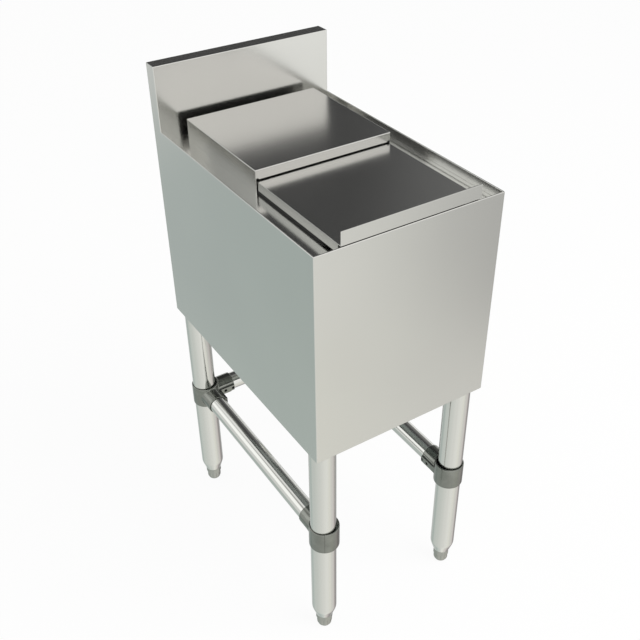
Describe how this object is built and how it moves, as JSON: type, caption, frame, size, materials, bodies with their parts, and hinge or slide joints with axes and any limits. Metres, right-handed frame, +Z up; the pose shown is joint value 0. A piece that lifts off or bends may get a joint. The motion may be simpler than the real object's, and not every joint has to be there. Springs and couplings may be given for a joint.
{
  "type": "underbar ice bin",
  "caption": "Narrow free-standing steel ice bin with a backsplash, a sliding front lid, a lift-off rear cover and braced tube legs on screw feet.",
  "frame": {"origin": "on the floor under the centre of the footprint", "axes": "+X to the right seen from the front, +Y to the back where the splash stands, +Z up"},
  "size_m": [0.3048, 0.4636, 0.8595],
  "materials": {
    "satin_steel": "satin brushed stainless steel",
    "light_steel": "satin brushed stainless steel, light",
    "tube_steel": "polished stainless tube",
    "galvanised": "plain galvanised steel",
    "cast_grey": "grey die casting",
    "foot_grey": "grey metal",
    "black_screw": "black oxide",
    "foam": "rigid foam",
    "rubber_black": "matte",
    "nut_brass": "plain"
  },
  "bodies": {
    "cabinet": {"front_panel": "light_steel", "left_side_panel": "satin_steel", "right_side_panel": "satin_steel", "back_panel": "satin_steel", "backsplash": "light_steel", "deck_frame": "light_steel", "coaming_seal": "rubber_black", "ice_liner": "light_steel", "foam_insulation": "foam", "bottom_panel": "light_steel", "leg_channel_left": "galvanised", "leg_channel_right": "galvanised", "leg_socket_front_left": "galvanised", "leg_socket_front_right": "galvanised", "leg_socket_rear_left": "galvanised", "leg_socket_rear_right": "galvanised", "socket_bolts": "galvanised", "socket_nuts": "galvanised", "leg_set_screws": "black_screw", "leg_front_left": "tube_steel", "leg_front_right": "tube_steel", "leg_rear_left": "tube_steel", "leg_rear_right": "tube_steel", "foot_inserts": "foot_grey", "brace_clamp_front_left": "cast_grey", "brace_clamp_front_right": "cast_grey", "brace_clamp_rear_left": "cast_grey", "brace_clamp_rear_right": "cast_grey", "clamp_set_screws": "black_screw", "side_rail_left": "tube_steel", "side_rail_right": "tube_steel", "rear_rail": "tube_steel", "drain_body": "light_steel", "drain_gasket": "rubber_black", "drain_locknut": "nut_brass", "drain_strainer": "light_steel"},
    "front_lid": {"front_lid": "light_steel"},
    "rear_cover": {"rear_cover": "light_steel"},
    "false_bottom": {"false_bottom": "light_steel"},
    "foot_front_left": {"foot_front_left": "foot_grey"},
    "foot_front_right": {"foot_front_right": "foot_grey"},
    "foot_rear_left": {"foot_rear_left": "foot_grey"},
    "foot_rear_right": {"foot_rear_right": "foot_grey"}
  },
  "joints": [
    {"name": "front_lid_slide", "type": "slide", "parent": "cabinet", "child": "front_lid", "axis": [0, 1, 0], "range_m": [0, 0.203]},
    {"name": "rear_cover_lift", "type": "slide", "parent": "cabinet", "child": "rear_cover", "axis": [0, 0, 1], "range_m": [0, 0.15]},
    {"name": "false_bottom_lift", "type": "slide", "parent": "cabinet", "child": "false_bottom", "axis": [0, 0, 1], "range_m": [0, 0.15]},
    {"name": "foot_front_left_screw", "type": "slide", "parent": "cabinet", "child": "foot_front_left", "axis": [0, 0, 1], "range_m": [-0.025, 0]},
    {"name": "foot_front_right_screw", "type": "slide", "parent": "cabinet", "child": "foot_front_right", "axis": [0, 0, 1], "range_m": [-0.025, 0]},
    {"name": "foot_rear_left_screw", "type": "slide", "parent": "cabinet", "child": "foot_rear_left", "axis": [0, 0, 1], "range_m": [-0.025, 0]},
    {"name": "foot_rear_right_screw", "type": "slide", "parent": "cabinet", "child": "foot_rear_right", "axis": [0, 0, 1], "range_m": [-0.025, 0]}
  ]
}
